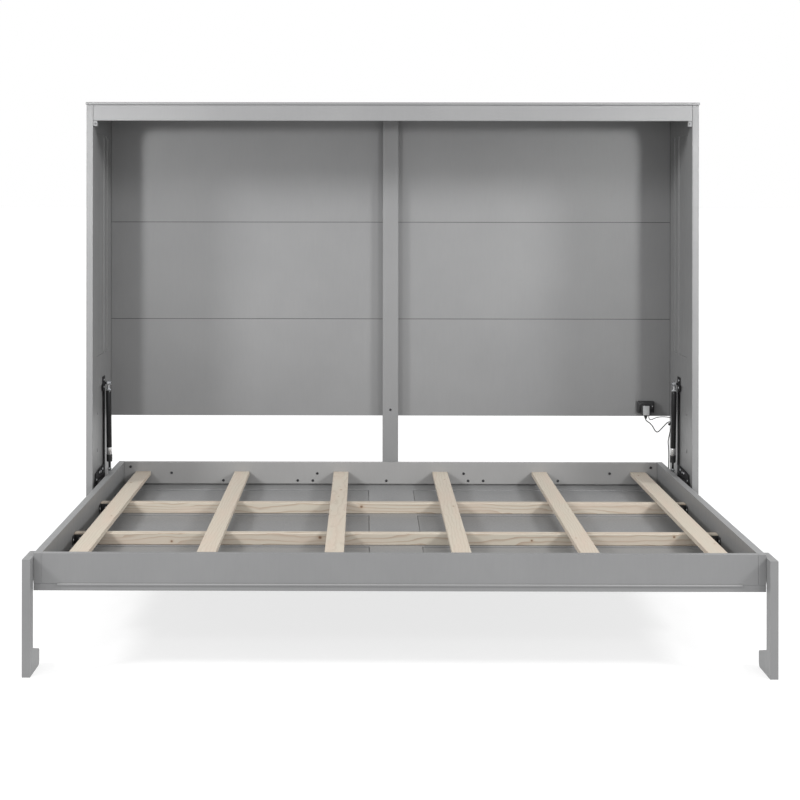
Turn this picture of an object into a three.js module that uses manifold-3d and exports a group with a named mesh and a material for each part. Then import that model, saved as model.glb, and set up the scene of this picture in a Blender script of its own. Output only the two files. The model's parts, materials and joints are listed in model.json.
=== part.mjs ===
// Queen-size wall bed that folds sideways into its own cabinet, shown folded down.
//
// Frame: millimetres, +Z up, +X to the right as seen from in front of the bed, +Y towards the wall.
// The origin is on the floor, in the middle of the footprint.
// Every piece is its own mesh. Neighbours that touch keep a gap of `gap` to each other.

import * as THREE from 'three';
import Module from 'manifold-3d';
import { mergeVertices } from 'three/addons/utils/BufferGeometryUtils.js';

const wasm = await Module();
wasm.setup();

// ---------------------------------------------------------------- driving dimensions

const gap = 0.3; // between pieces that touch

const cabinet = {
  width: 2211, height: 1700, depth: 427,
  panel: 24, // thickness of the side panels
  top: 10, // thickness of the top board
  overhang: 3, // of the top board, in front and at both sides
};
const fascia = { height: 57, thickness: 18 };
const fasciaBlock = { width: 14.7, depth: 20, height: 19.7, setback: 2 };
const back = {
  thickness: 9, bottom: 513, rowHeight: 374, topGap: 6,
  postWidth: 60, postFront: 383, // postFront is a depth behind the cabinet's front
};
const backRail = { height: 38, baseBottom: 20, baseHeight: 80 };
const field = { recess: 4, front: 85, rear: 258, midBottom: 655, midTop: 770, bottom: 90, top: 1587 };
const narrowField = { front: 278, rear: 342 }; // behind the upper field, and as high

const bed = {
  length: 1610, // front to rear, across the mattress
  width: 2084, // over the side rails
  rail: 22, railBottom: 255.3, railTop: 342,
  overlap: 375, // how far the open bed reaches back into the cabinet
};
const facade = {
  thickness: 19, bottom: 236, halfWidth: 1076, notchLength: 340, sideStile: 100, centreStile: 166,
  rails: [[0, 118], [504, 604], [1003, 1103], [1492, 1610]], // across the bed, from its front edge
  panelThickness: 11, panelRecess: 3,
  lip: { reach: 3, height: 5 }, // along the top of the front edge, between the side stiles
};
const beam = { size: 35, height: 36.4, fronts: [518, 1030] };
const rearRebate = { height: 5, depth: 8 }; // along the bottom of the rear rail's inner face
const slat = { width: 57, thickness: 15, centres: [189, 568, 946] };

const leg = {
  thickness: 23.2, stem: 43, armReach: 84, armBottom: 270, top: 333,
  footReach: 90, footHeight: 46, heelHeight: 72, corner: 14, toeCorner: 8,
  pivot: { y: 28, z: 308 }, // from the bed's front edge, and above the floor
};

const pivot = { depth: 78.5, z: 314.5, pinRadius: 6, collarRadius: 13 };
const strut = {
  x: 1061, topDepth: 228, topZ: 659, studBehindPivot: 180, studAbovePivot: 3.5,
  tubeRadius: 10, capRadius: 11, rodRadius: 4, eyeRadius: 9.5, eyeWidth: 12,
  tubeStart: 28, tubeEnd: 300, capLength: 28, stroke: 202.1,
};
const steel = 3; // plate thickness of the lift mechanism
const runningGap = 0.4; // radial, round pins and studs

const outlet = { x: 984, width: 66, bottom: 527, height: 45, depth: 24 };
const adaptor = { x: 981, width: 35, bottom: 521, height: 40, depth: 24, bootLength: 14, bootRadius: 8 };
const cord = { diameter: 4, steps: 76 };
const lead = { diameter: 3, steps: 16 };
const coil = { x: 970, depth: 345, inner: 15.8, outer: 30.2, height: 8.2, outerTurn: 28 };
const plug = { length: 35, width: 26, height: 17, reliefLength: 18, bladeLength: 17 };

// Routes as [x, depth behind the cabinet's front, height], each from where the cord leaves the adaptor.
// The power cord hangs in a slack loop, passes over its hook, drops behind the bed and lies on the floor.
const cordRoute = [
  [981, 381.1, 506.4], [981.6, 381.1, 503], [984.4, 381, 499.4], [990, 381, 495.2], [997.2, 380.8, 490],
  [1003.6, 380.7, 483.4], [1009, 380.6, 475.6], [1013.4, 380.5, 467.8], [1017.4, 380.4, 461.4],
  [1022.4, 380.4, 457.2], [1028.2, 380.4, 457.6], [1033.2, 380.4, 461.4], [1038.8, 380.4, 467.2],
  [1045.6, 380.4, 474.4], [1052.6, 380.3, 481.8], [1059.2, 380.3, 488.6], [1065, 380.3, 493.4],
  [1071.2, 380.3, 495.4], [1076.6, 380.3, 492.4], [1078.6, 380.3, 485.6], [1077.6, 380.3, 474],
  [1074.4, 380.3, 458], [1070, 380.3, 438], [1067.2, 380.3, 421], [1068, 380.3, 404], [1069.4, 380.3, 376],
  [1069, 380.3, 330], [1068, 380.3, 270], [1066.6, 380.3, 200], [1064.4, 380.2, 130], [1061.8, 379.6, 86],
  [1058.2, 378.6, 54], [1052.4, 377.6, 30], [1043.8, 376.4, 13.6], [1032, 375.2, 4.9], [1017, 374, 2.3],
  [1002, 373.2, 2.1], [986.4, 373, 2.1],
];
// The thin lead crosses to the right-hand side panel and goes into it behind the strut.
const leadRoute = [
  [993, 384, 520.4], [993.4, 384, 512], [996.8, 384, 504.8], [1003.6, 384, 503.6], [1012, 383.6, 507.4],
  [1022, 383, 511.4], [1034, 382, 514], [1047, 381.2, 514.8], [1060, 381, 514.2], [1071, 381, 512.4],
  [1081.2, 381, 510.2],
];
const hook = { x: 1071.2, z: 486.6, radius: 4.6, front: 377.5, armFront: 383, armRear: 386.2 };

// ---------------------------------------------------------------- derived places

const halfWidth = cabinet.width / 2;
const innerX = halfWidth - cabinet.panel;
const footprint = leg.stem + bed.length - bed.overlap + cabinet.depth;
const cabinetFront = footprint / 2 - cabinet.depth;
const bedFront = cabinetFront + bed.overlap - bed.length;
const underTop = cabinet.height - cabinet.top;
const depthY = (depth) => cabinetFront + depth; // depth behind the cabinet's front plane
const bedY = (distance) => bedFront + distance; // distance behind the bed's front edge

// ---------------------------------------------------------------- materials

const paint = () => new THREE.MeshStandardMaterial({ color: 0x8f9091, roughness: 0.5, metalness: 0 });
const pine = () => new THREE.MeshStandardMaterial({ color: 0xd8c6a8, roughness: 0.7, metalness: 0 });
const blackSteel = () => new THREE.MeshStandardMaterial({ color: 0x17181a, roughness: 0.45, metalness: 0.6 });
const zinc = () => new THREE.MeshStandardMaterial({ color: 0xb9bcc0, roughness: 0.3, metalness: 0.9 });
const blackPlastic = () => new THREE.MeshStandardMaterial({ color: 0x1b1c1e, roughness: 0.5, metalness: 0 });
const cordPlastic = () => new THREE.MeshStandardMaterial({ color: 0x2b2c2e, roughness: 0.55, metalness: 0 });

// ---------------------------------------------------------------- geometry helpers

// A box between two corners, given as [low, high] along X, Y and Z.
function box([x0, x1], [y0, y1], [z0, z1]) {
  const geometry = new THREE.BoxGeometry(x1 - x0, y1 - y0, z1 - z0);
  return geometry.translate((x0 + x1) / 2, (y0 + y1) / 2, (z0 + z1) / 2);
}

// A flat outline in Y and Z, extruded along X from x0 to x1.
function plate(outline, x0, x1) {
  const settings = { depth: x1 - x0, bevelEnabled: false, curveSegments: 10 };
  const geometry = new THREE.ExtrudeGeometry(outline, settings);
  const alongX = new THREE.Matrix4().makeBasis(
    new THREE.Vector3(0, 1, 0), new THREE.Vector3(0, 0, 1), new THREE.Vector3(1, 0, 0));
  return geometry.applyMatrix4(alongX).translate(x0, 0, 0);
}

// A round bar along X from x0 to x1, centred on y and z.
function barAlongX(radius, x0, x1, y, z) {
  const geometry = new THREE.CylinderGeometry(radius, radius, x1 - x0, 32);
  return geometry.rotateZ(Math.PI / 2).translate((x0 + x1) / 2, y, z);
}

// A turned piece on the Z axis; its profile holds [radius, z] pairs and starts and ends on the axis.
function turned(profile) {
  const points = profile.map(([radius, z]) => new THREE.Vector2(radius, z));
  return new THREE.LatheGeometry(points, 32).rotateX(Math.PI / 2);
}

// Only positions, with shared vertices merged, and no triangle that has two corners in one place.
function merged(geometry) {
  const bare = geometry.clone();
  bare.deleteAttribute('normal');
  bare.deleteAttribute('uv');
  const clean = mergeVertices(bare, 1e-4);
  const index = clean.index.array;
  const kept = [];
  for (let i = 0; i < index.length; i += 3) {
    const [a, b, c] = [index[i], index[i + 1], index[i + 2]];
    if (a !== b && b !== c && c !== a) kept.push(a, b, c);
  }
  clean.setIndex(kept);
  return clean;
}

// Six times the volume inside a merged mesh; it is negative when the faces point inwards.
function signedVolume(geometry) {
  const position = geometry.attributes.position;
  const corners = [new THREE.Vector3(), new THREE.Vector3(), new THREE.Vector3()];
  let total = 0;
  for (let i = 0; i < geometry.index.count; i += 3) {
    corners.forEach((corner, k) => corner.fromBufferAttribute(position, geometry.index.getX(i + k)));
    total += corners[0].dot(corners[1].clone().cross(corners[2]));
  }
  return total;
}

// The same closed mesh with every face turned over.
function reversed(geometry) {
  const index = geometry.index.array;
  const turnedOver = [];
  for (let i = 0; i < index.length; i += 3) turnedOver.push(index[i], index[i + 2], index[i + 1]);
  const result = geometry.clone();
  result.setIndex(turnedOver);
  return result;
}

// A merged mesh whose faces all point out.
function outward(geometry) {
  const clean = merged(geometry);
  return signedVolume(clean) < 0 ? reversed(clean) : clean;
}

function toSolid(geometry) {
  const clean = outward(geometry);
  return new wasm.Manifold(new wasm.Mesh({
    numProp: 3,
    vertProperties: new Float32Array(clean.attributes.position.array),
    triVerts: new Uint32Array(clean.index.array),
  }));
}

function toGeometry(solid) {
  const mesh = solid.getMesh();
  const geometry = new THREE.BufferGeometry();
  geometry.setAttribute('position', new THREE.BufferAttribute(new Float32Array(mesh.vertProperties), 3));
  geometry.setIndex(Array.from(mesh.triVerts));
  return geometry;
}

const joined = (...pieces) => toGeometry(pieces.map(toSolid).reduce((a, b) => a.add(b)));

function cut(piece, ...tools) {
  return toGeometry(tools.map(toSolid).reduce((a, b) => a.subtract(b), toSolid(piece)));
}

// The same piece on the other side of the bed.
function mirrored(geometry) {
  return reversed(outward(geometry).scale(-1, 1, 1));
}

// ---------------------------------------------------------------- the assembly

const wallBed = new THREE.Group();

function add(name, geometry, material, parent = wallBed) {
  const mesh = new THREE.Mesh(outward(geometry), material());
  mesh.name = name;
  parent.add(mesh);
  return mesh;
}

// A piece drawn on the right, and its mirror image on the left.
function addPair(name, geometry, material) {
  add(`right_${name}`, geometry, material);
  add(`left_${name}`, mirrored(geometry), material);
}

// ---------------------------------------------------------------- cabinet

// A side panel with two sunk fields on its inner face, drawn on the right.
function sidePanel() {
  const board = box([innerX, halfWidth], [cabinetFront, depthY(cabinet.depth)], [0, underTop - gap]);
  const sunk = [innerX - 1, innerX + field.recess];
  const across = [depthY(field.front), depthY(field.rear)];
  const lower = box(sunk, across, [field.bottom, field.midBottom]);
  const upper = box(sunk, across, [field.midTop, field.top]);
  const narrow = box(sunk, [depthY(narrowField.front), depthY(narrowField.rear)], [field.midTop, field.top]);
  return cut(board, lower, upper, narrow);
}

function addCase() {
  addPair('side_panel', sidePanel(), paint);
  const overTop = halfWidth + cabinet.overhang;
  const topFront = cabinetFront - cabinet.overhang;
  const topDepths = [topFront, depthY(cabinet.depth)];
  add('top_board', box([-overTop, overTop], topDepths, [underTop, cabinet.height]), paint);

  const inside = innerX - gap;
  const fasciaTop = underTop - gap;
  const fasciaBottom = fasciaTop - fascia.height;
  const fasciaDepths = [cabinetFront, depthY(fascia.thickness)];
  add('top_fascia', box([-inside, inside], fasciaDepths, [fasciaBottom, fasciaTop]), paint);

  const blockTop = fasciaBottom - gap;
  const blockFront = depthY(fasciaBlock.setback);
  const block = box(
    [inside - fasciaBlock.width, inside],
    [blockFront, blockFront + fasciaBlock.depth],
    [blockTop - fasciaBlock.height, blockTop]);
  addPair('fascia_block', block, zinc);
}

// Six thin boards in two bays and three rows, held by a centre post and the side panels.
function addBack() {
  const boardFront = depthY(cabinet.depth - back.thickness - gap);
  const boardDepths = [boardFront, boardFront + back.thickness];
  const rows = [
    ['lower', back.bottom, back.bottom + back.rowHeight - gap],
    ['middle', back.bottom + back.rowHeight, back.bottom + 2 * back.rowHeight - gap],
    ['upper', back.bottom + 2 * back.rowHeight, underTop - back.topGap],
  ];
  for (const [row, low, high] of rows) {
    addPair(`${row}_back_board`, box([gap / 2, innerX - gap], boardDepths, [low, high]), paint);
  }

  const postDepths = [depthY(back.postFront), boardFront - gap];
  const railBottom = underTop - gap - backRail.height;
  const postHeights = [0, railBottom - gap];
  add('centre_post', box([-back.postWidth / 2, back.postWidth / 2], postDepths, postHeights), paint);

  const across = [gap - innerX, innerX - gap];
  add('top_back_rail', box(across, postDepths, [railBottom, underTop - gap]), paint);
  const baseHeights = [backRail.baseBottom, backRail.baseBottom + backRail.baseHeight];
  add('rear_base_board', box(across, boardDepths, baseHeights), paint);
}

// ---------------------------------------------------------------- lift mechanism

const plateFace = innerX - gap - steel; // inner face of the cabinet's steel plates

// A steel plate on the side panel: a foot round the pivot, a slim upright, and a head behind the strut's eye.
function mechanismOutline() {
  const outline = new THREE.Shape();
  outline.moveTo(depthY(36), 262);
  outline.lineTo(depthY(258), 262);
  outline.lineTo(depthY(258), 684);
  outline.lineTo(depthY(210), 684);
  outline.lineTo(depthY(210), 636);
  outline.lineTo(depthY(240), 624);
  outline.lineTo(depthY(240), 354);
  outline.lineTo(depthY(60), 350);
  outline.lineTo(depthY(36), 332);
  outline.closePath();
  return outline;
}

// The fixed steel parts on the right-hand side panel.
function addCabinetMechanism() {
  addPair('mechanism_plate', plate(mechanismOutline(), plateFace, plateFace + steel), blackSteel);

  const seat = plateFace - gap;
  const pinY = depthY(pivot.depth);
  const collar = barAlongX(pivot.collarRadius, bed.width / 2 + gap + steel + 0.7, seat, pinY, pivot.z);
  const pin = barAlongX(pivot.pinRadius, bed.width / 2 - 8, seat - 2, pinY, pivot.z);
  addPair('pivot_pin', joined(collar, pin), zinc);

  const studY = depthY(strut.topDepth);
  const base = box([seat - 2.5, seat], [studY - 17, studY + 9], [strut.topZ - 20, strut.topZ + 20]);
  const stud = barAlongX(strut.rodRadius, strut.x - 11, seat - 1, studY, strut.topZ);
  const head = barAlongX(8, strut.x - 11, strut.x - 8, studY, strut.topZ);
  addPair('strut_bracket', joined(base, stud, head), zinc);
}

// The steel plate on the bed's side rail, which turns round the pivot pin and carries the strut's lower stud.
function bedHingePlate() {
  const x0 = bed.width / 2 + gap;
  const pinY = depthY(pivot.depth);
  const studY = pinY + strut.studBehindPivot;
  const outline = new THREE.Shape();
  outline.moveTo(pinY - 50, 290);
  outline.lineTo(studY + 60, 290);
  outline.lineTo(studY + 60, 326);
  outline.lineTo(studY + 46, 338);
  outline.lineTo(pinY - 50, 338);
  outline.closePath();
  const bore = new THREE.Path();
  bore.absarc(pinY, pivot.z, pivot.pinRadius + runningGap, 0, 2 * Math.PI);
  outline.holes.push(bore);
  const studZ = pivot.z + strut.studAbovePivot;
  const studEnd = strut.x - strut.eyeWidth / 2 - 0.5;
  const stud = barAlongX(strut.rodRadius, x0 + steel / 2, studEnd, studY, studZ);
  return joined(plate(outline, x0, x0 + steel), stud);
}

// A gas strut in two pieces, drawn hanging down the Z axis from its upper eye.
function strutCylinder() {
  const start = -strut.tubeStart;
  const end = -strut.tubeEnd;
  const capTop = end + strut.capLength;
  const tube = turned([
    [0, start], [strut.tubeRadius - 2, start], [strut.tubeRadius, start - 2], [strut.tubeRadius, capTop],
    [strut.capRadius, capTop], [strut.capRadius, end], [strut.rodRadius + runningGap, end],
    [strut.rodRadius + runningGap, end + 12], [strut.tubeRadius - 2, end + 12],
    [strut.tubeRadius - 2, start - 20], [0, start - 20]]);
  const neck = turned([[0, start - 4], [5, start - 4], [5, -6.5], [0, -6.5]]);
  const halfEye = strut.eyeWidth / 2;
  const eye = barAlongX(strut.eyeRadius, -halfEye, halfEye, 0, 0);
  const bore = barAlongX(strut.rodRadius + runningGap, -halfEye - 1, halfEye + 1, 0, 0);
  return cut(joined(tube, neck, eye), bore);
}

function strutRod(length) {
  const pistonTop = -(strut.tubeEnd - 25 - strut.stroke);
  const rod = turned([
    [0, pistonTop], [strut.tubeRadius - 3, pistonTop], [strut.tubeRadius - 3, pistonTop - 8],
    [strut.rodRadius, pistonTop - 8], [strut.rodRadius, -length + 6], [0, -length + 6]]);
  const eye = barAlongX(strut.eyeRadius - 1, -strut.eyeWidth / 2, strut.eyeWidth / 2, 0, -length);
  return joined(rod, eye);
}

function addStruts() {
  const drop = strut.topZ - (pivot.z + strut.studAbovePivot);
  const back = pivot.depth + strut.studBehindPivot - strut.topDepth;
  const length = Math.hypot(drop, back);
  const lean = Math.atan2(back, drop);
  for (const [side, sign] of [['right', 1], ['left', -1]]) {
    const group = new THREE.Group();
    group.position.set(sign * strut.x, depthY(strut.topDepth), strut.topZ);
    group.rotation.x = lean;
    add(`${side}_strut_cylinder`, strutCylinder(), blackSteel, group);
    add(`${side}_strut_rod`, strutRod(length), blackSteel, group);
    wallBed.add(group);
  }
}

// ---------------------------------------------------------------- folding bed

// A side rail with blind holes for the pivot pin and for the leg's bolt, drawn on the right.
function sideRail() {
  const outer = bed.width / 2;
  const rail = box([outer - bed.rail, outer], [bedY(0), bedY(bed.length)], [bed.railBottom, bed.railTop]);
  const pinHole = barAlongX(pivot.pinRadius + runningGap, outer - 9, outer + 1, depthY(pivot.depth), pivot.z);
  const boltHole = barAlongX(4.4, outer - 13, outer + 1, bedY(leg.pivot.y), leg.pivot.z);
  return cut(rail, pinHole, boltHole);
}

function addBedFrame() {
  addPair('side_rail', sideRail(), paint);
  const inside = bed.width / 2 - bed.rail - gap;
  const across = [-inside, inside];
  const heights = [bed.railBottom, bed.railTop];
  add('front_rail', box(across, [bedY(0), bedY(bed.rail)], heights), paint);
  const rearFace = bedY(bed.length - bed.rail);
  const rear = box(across, [rearFace, bedY(bed.length)], heights);
  const rebate = box(
    [-bed.width, bed.width],
    [rearFace - 1, rearFace + rearRebate.depth],
    [bed.railBottom - 1, bed.railBottom + rearRebate.height]);
  add('rear_rail', cut(rear, rebate), paint);

  const beamHeights = [bed.railBottom, bed.railBottom + beam.height];
  for (const [index, front] of beam.fronts.entries()) {
    const depths = [bedY(front), bedY(front + beam.size)];
    add(['front_beam', 'rear_beam'][index], box(across, depths, beamHeights), pine);
  }

  const slatBottom = beamHeights[1] + gap;
  const slatDepths = [bedY(bed.rail) + gap, bedY(bed.length - bed.rail) - gap];
  const centres = [...slat.centres.map((x) => -x).reverse(), ...slat.centres];
  for (const [index, x] of centres.entries()) {
    const width = [x - slat.width / 2, x + slat.width / 2];
    add(`slat_${index + 1}`, box(width, slatDepths, [slatBottom, slatBottom + slat.thickness]), pine);
  }
}

// The framed panel under the bed, which is the cabinet's front when the bed is folded away.
// Its outer front corners are cut back so that the folded legs lie flush with it.
function addFacade() {
  const wide = facade.halfWidth;
  const narrow = bed.width / 2;
  const outline = new THREE.Shape();
  outline.moveTo(-narrow, bedY(0));
  outline.lineTo(narrow, bedY(0));
  outline.lineTo(narrow, bedY(facade.notchLength));
  outline.lineTo(wide, bedY(facade.notchLength));
  outline.lineTo(wide, bedY(bed.length));
  outline.lineTo(-wide, bedY(bed.length));
  outline.lineTo(-wide, bedY(facade.notchLength));
  outline.lineTo(-narrow, bedY(facade.notchLength));
  outline.closePath();

  const columns = [
    ['left', facade.sideStile - wide, -facade.centreStile / 2],
    ['right', facade.centreStile / 2, wide - facade.sideStile],
  ];
  const facadeTop = facade.bottom + facade.thickness;
  const panelTop = facadeTop - facade.panelRecess;
  const panelHeights = [panelTop - facade.panelThickness, panelTop];
  const openings = [];
  for (const [row, name] of ['front', 'middle', 'rear'].entries()) {
    const y0 = bedY(facade.rails[row][1]);
    const y1 = bedY(facade.rails[row + 1][0]);
    for (const [side, x0, x1] of columns) {
      openings.push(box([x0, x1], [y0, y1], [facade.bottom - 1, facadeTop + 1]));
      const panel = box([x0 + gap, x1 - gap], [y0 + gap, y1 - gap], panelHeights);
      add(`facade_panel_${name}_${side}`, panel, paint);
    }
  }
  const sheet = new THREE.ExtrudeGeometry(outline, { depth: facade.thickness, bevelEnabled: false });
  const lipAcross = [facade.sideStile - wide, wide - facade.sideStile];
  const lip = box(lipAcross, [bedY(-facade.lip.reach), bedY(1)], [facadeTop - facade.lip.height, facadeTop]);
  add('facade_frame', cut(joined(sheet.translate(0, 0, facade.bottom), lip), ...openings), paint);
}

// A leg cut from one board: an arm at the pivot, a stem, and a sloping foot that turns back along the floor.
function legOutline() {
  const front = bedY(-leg.stem);
  const inner = bedY(0);
  const arm = bedY(leg.armReach);
  const foot = bedY(leg.footReach);
  const r = leg.corner;
  const toe = leg.toeCorner;
  const toeRise = (toe * (leg.heelHeight - leg.footHeight)) / leg.footReach;
  const outline = new THREE.Shape();
  outline.moveTo(front, 0);
  outline.lineTo(foot - r, 0);
  outline.absarc(foot - r, r, r, -Math.PI / 2, 0);
  outline.lineTo(foot, leg.footHeight - toe);
  outline.quadraticCurveTo(foot, leg.footHeight, foot - toe, leg.footHeight + toeRise);
  outline.lineTo(inner, leg.heelHeight);
  outline.lineTo(inner, leg.armBottom - r);
  outline.absarc(inner + r, leg.armBottom - r, r, Math.PI, Math.PI / 2, true);
  outline.lineTo(arm - r, leg.armBottom);
  outline.absarc(arm - r, leg.armBottom + r, r, -Math.PI / 2, 0);
  outline.lineTo(arm, leg.top - r);
  outline.absarc(arm - r, leg.top - r, r, 0, Math.PI / 2);
  outline.lineTo(front, leg.top);
  outline.closePath();
  const bore = new THREE.Path();
  bore.absarc(bedY(leg.pivot.y), leg.pivot.z, 4 + runningGap, 0, 2 * Math.PI);
  outline.holes.push(bore);
  return outline;
}

function addLegs() {
  const inner = bed.width / 2 + 0.8;
  const outer = inner + leg.thickness;
  addPair('leg', plate(legOutline(), inner, outer), paint);
  const y = bedY(leg.pivot.y);
  const shank = barAlongX(4, bed.width / 2 - 12, outer + 1, y, leg.pivot.z);
  const head = barAlongX(9, outer + gap, outer + 4, y, leg.pivot.z);
  addPair('leg_bolt', joined(shank, head), zinc);
}

// ---------------------------------------------------------------- power outlet and its cords

function cordTube(route, { diameter, steps }) {
  const points = route.map(([x, depth, z]) => new THREE.Vector3(x, depthY(depth), z));
  const path = new THREE.CatmullRomCurve3(points, false, 'centripetal');
  const sides = 8;
  const section = Array.from({ length: sides }, (_, i) => {
    const angle = (2 * Math.PI * i) / sides;
    return new THREE.Vector2(Math.cos(angle), Math.sin(angle)).multiplyScalar(diameter / 2);
  });
  return new THREE.ExtrudeGeometry(new THREE.Shape(section), { steps, extrudePath: path });
}

function addOutlet() {
  const boardFront = depthY(cabinet.depth - back.thickness - gap);
  const boxDepths = [boardFront - gap - outlet.depth, boardFront - gap];
  const boxAcross = [outlet.x - outlet.width / 2, outlet.x + outlet.width / 2];
  const boxHeights = [outlet.bottom, outlet.bottom + outlet.height];
  add('outlet_box', box(boxAcross, boxDepths, boxHeights), blackPlastic);

  const front = boxDepths[0] - gap - adaptor.depth;
  const across = [adaptor.x - adaptor.width / 2, adaptor.x + adaptor.width / 2];
  const heights = [adaptor.bottom, adaptor.bottom + adaptor.height];
  const body = box(across, [front, front + adaptor.depth], heights);
  const bootTip = adaptor.bottom - adaptor.bootLength;
  const boot = turned([
    [0, bootTip], [0.7 * cord.diameter, bootTip], [adaptor.bootRadius, adaptor.bottom - 2],
    [adaptor.bootRadius, adaptor.bottom + 1], [0, adaptor.bottom + 1]]);
  boot.translate(adaptor.x, front + adaptor.depth / 2, 0);
  add('adaptor', joined(body, boot), blackPlastic);
}

// A peg for the cord, on an arm that reaches out from a foot on the right-hand side panel.
function cordHook() {
  const panelFace = innerX - gap;
  const pegLength = hook.armFront + 1 - hook.front;
  const peg = new THREE.CylinderGeometry(hook.radius, hook.radius, pegLength, 24);
  peg.translate(hook.x, depthY(hook.front) + pegLength / 2, hook.z);
  const armDepths = [depthY(hook.armFront), depthY(hook.armRear)];
  const arm = box([hook.x - 2, panelFace], armDepths, [hook.z - 4, hook.z + 4]);
  const footDepths = [depthY(hook.armFront), depthY(hook.armRear + 12)];
  const foot = box([panelFace - 2.2, panelFace], footDepths, [hook.z - 10, hook.z + 10]);
  return joined(peg, arm, foot);
}

// The power cord's slack lies wound in a flat coil on the floor behind the bed, with the plug beside it.
function addCords() {
  add('power_cord', cordTube(cordRoute, cord), cordPlastic);
  add('outlet_lead', cordTube(leadRoute, lead), cordPlastic);

  add('cord_hook', cordHook(), blackPlastic);

  const ring = turned([
    [coil.inner, 0.1], [coil.outer, 0.1], [coil.outer, 0.1 + coil.height], [coil.inner, 0.1 + coil.height],
    [coil.inner, 0.1]]);
  add('cord_coil', ring.translate(coil.x, depthY(coil.depth), 0), cordPlastic);

  const axisY = depthY(coil.depth - coil.outerTurn);
  const reliefStart = coil.x + 17;
  const bodyStart = reliefStart + plug.reliefLength;
  const bodyEnd = bodyStart + plug.length;
  const widths = [axisY - plug.width / 2, axisY + plug.width / 2];
  const body = box([bodyStart, bodyEnd], widths, [0, plug.height]);
  const relief = turned([[0, 0], [3, 0], [4.8, plug.reliefLength + 1], [0, plug.reliefLength + 1]]);
  relief.rotateY(Math.PI / 2).translate(reliefStart, axisY, plug.height / 2);
  const blades = [-6.35, 6.35].map((offset) => box(
    [bodyEnd - 1, bodyEnd + plug.bladeLength],
    [axisY + offset - 0.75, axisY + offset + 0.75],
    [plug.height / 2 - 3.15, plug.height / 2 + 3.15]));
  add('cord_plug', joined(body, relief, ...blades), blackPlastic);
}

addCase();
addBack();
addCabinetMechanism();
addStruts();
addBedFrame();
addFacade();
addPair('bed_hinge_plate', bedHingePlate(), blackSteel);
addLegs();
addOutlet();
addCords();

export default wallBed;
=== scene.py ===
"""A queen-size wall bed that folds sideways into its cabinet, shown folded down.

Painted board, pine slats and beams, a black steel lift mechanism with gas struts, and a small power adaptor.
Metres, +Z up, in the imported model's own frame: +X to the right as seen from in front, +Y towards the wall.
"""

import json
import math

import bmesh
import bpy
from mathutils import Matrix, Vector

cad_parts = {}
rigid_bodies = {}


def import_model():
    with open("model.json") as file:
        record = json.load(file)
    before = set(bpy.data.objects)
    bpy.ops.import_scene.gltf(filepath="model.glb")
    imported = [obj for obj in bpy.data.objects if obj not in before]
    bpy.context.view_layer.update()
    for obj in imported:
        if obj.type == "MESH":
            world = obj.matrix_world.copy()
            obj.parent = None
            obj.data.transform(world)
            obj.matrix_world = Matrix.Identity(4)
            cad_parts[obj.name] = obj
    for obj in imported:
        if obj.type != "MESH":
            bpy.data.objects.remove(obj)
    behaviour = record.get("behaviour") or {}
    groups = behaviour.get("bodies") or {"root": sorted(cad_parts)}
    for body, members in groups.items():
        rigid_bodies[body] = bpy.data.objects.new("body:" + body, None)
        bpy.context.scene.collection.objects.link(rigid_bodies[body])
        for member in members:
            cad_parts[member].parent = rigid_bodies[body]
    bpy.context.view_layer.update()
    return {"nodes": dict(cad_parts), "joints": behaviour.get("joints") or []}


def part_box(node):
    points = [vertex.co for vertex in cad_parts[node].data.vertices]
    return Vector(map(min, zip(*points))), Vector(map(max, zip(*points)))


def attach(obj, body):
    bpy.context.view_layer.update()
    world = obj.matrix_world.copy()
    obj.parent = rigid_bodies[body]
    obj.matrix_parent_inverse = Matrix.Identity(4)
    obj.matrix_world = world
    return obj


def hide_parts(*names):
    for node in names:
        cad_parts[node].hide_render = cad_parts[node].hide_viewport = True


for startup_object in list(bpy.data.objects):
    bpy.data.objects.remove(startup_object)

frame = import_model()

# ---------------------------------------------------------------- driving dimensions

CAMERA_PLACE = (-0.1004, -5.3981, 1.354)
CAMERA_TURN = (math.pi / 2, -0.0012, 0.0052)
CAMERA_LENS = 72.6
CAMERA_SHIFT = (0.0548, -0.2524)

CORD_DIAMETER = 0.004
LEAD_DIAMETER = 0.003

# Each point is x, depth behind the cabinet's front, height.
CORD_ROUTE = [
    (0.9810, 0.3811, 0.5064), (0.9816, 0.3811, 0.5030), (0.9844, 0.3810, 0.4994), (0.9900, 0.3810, 0.4952),
    (0.9972, 0.3808, 0.4900), (1.0036, 0.3807, 0.4834), (1.0090, 0.3806, 0.4756), (1.0134, 0.3805, 0.4678),
    (1.0174, 0.3804, 0.4614), (1.0224, 0.3804, 0.4572), (1.0282, 0.3804, 0.4576), (1.0332, 0.3804, 0.4614),
    (1.0388, 0.3804, 0.4672), (1.0456, 0.3804, 0.4744), (1.0526, 0.3803, 0.4818), (1.0592, 0.3803, 0.4886),
    (1.0650, 0.3803, 0.4934), (1.0712, 0.3803, 0.4954), (1.0766, 0.3803, 0.4924), (1.0786, 0.3803, 0.4856),
    (1.0776, 0.3803, 0.4740), (1.0744, 0.3803, 0.4580), (1.0700, 0.3803, 0.4380), (1.0672, 0.3803, 0.4210),
    (1.0680, 0.3803, 0.4040), (1.0694, 0.3803, 0.3760), (1.0690, 0.3803, 0.3300), (1.0680, 0.3803, 0.2700),
    (1.0666, 0.3803, 0.2000), (1.0644, 0.3802, 0.1300), (1.0618, 0.3796, 0.0860), (1.0582, 0.3786, 0.0540),
    (1.0524, 0.3776, 0.0300), (1.0438, 0.3764, 0.0136), (1.0320, 0.3752, 0.0049), (1.0170, 0.3740, 0.0023),
    (1.0020, 0.3732, 0.0021), (0.9864, 0.3730, 0.0021),
]
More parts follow.
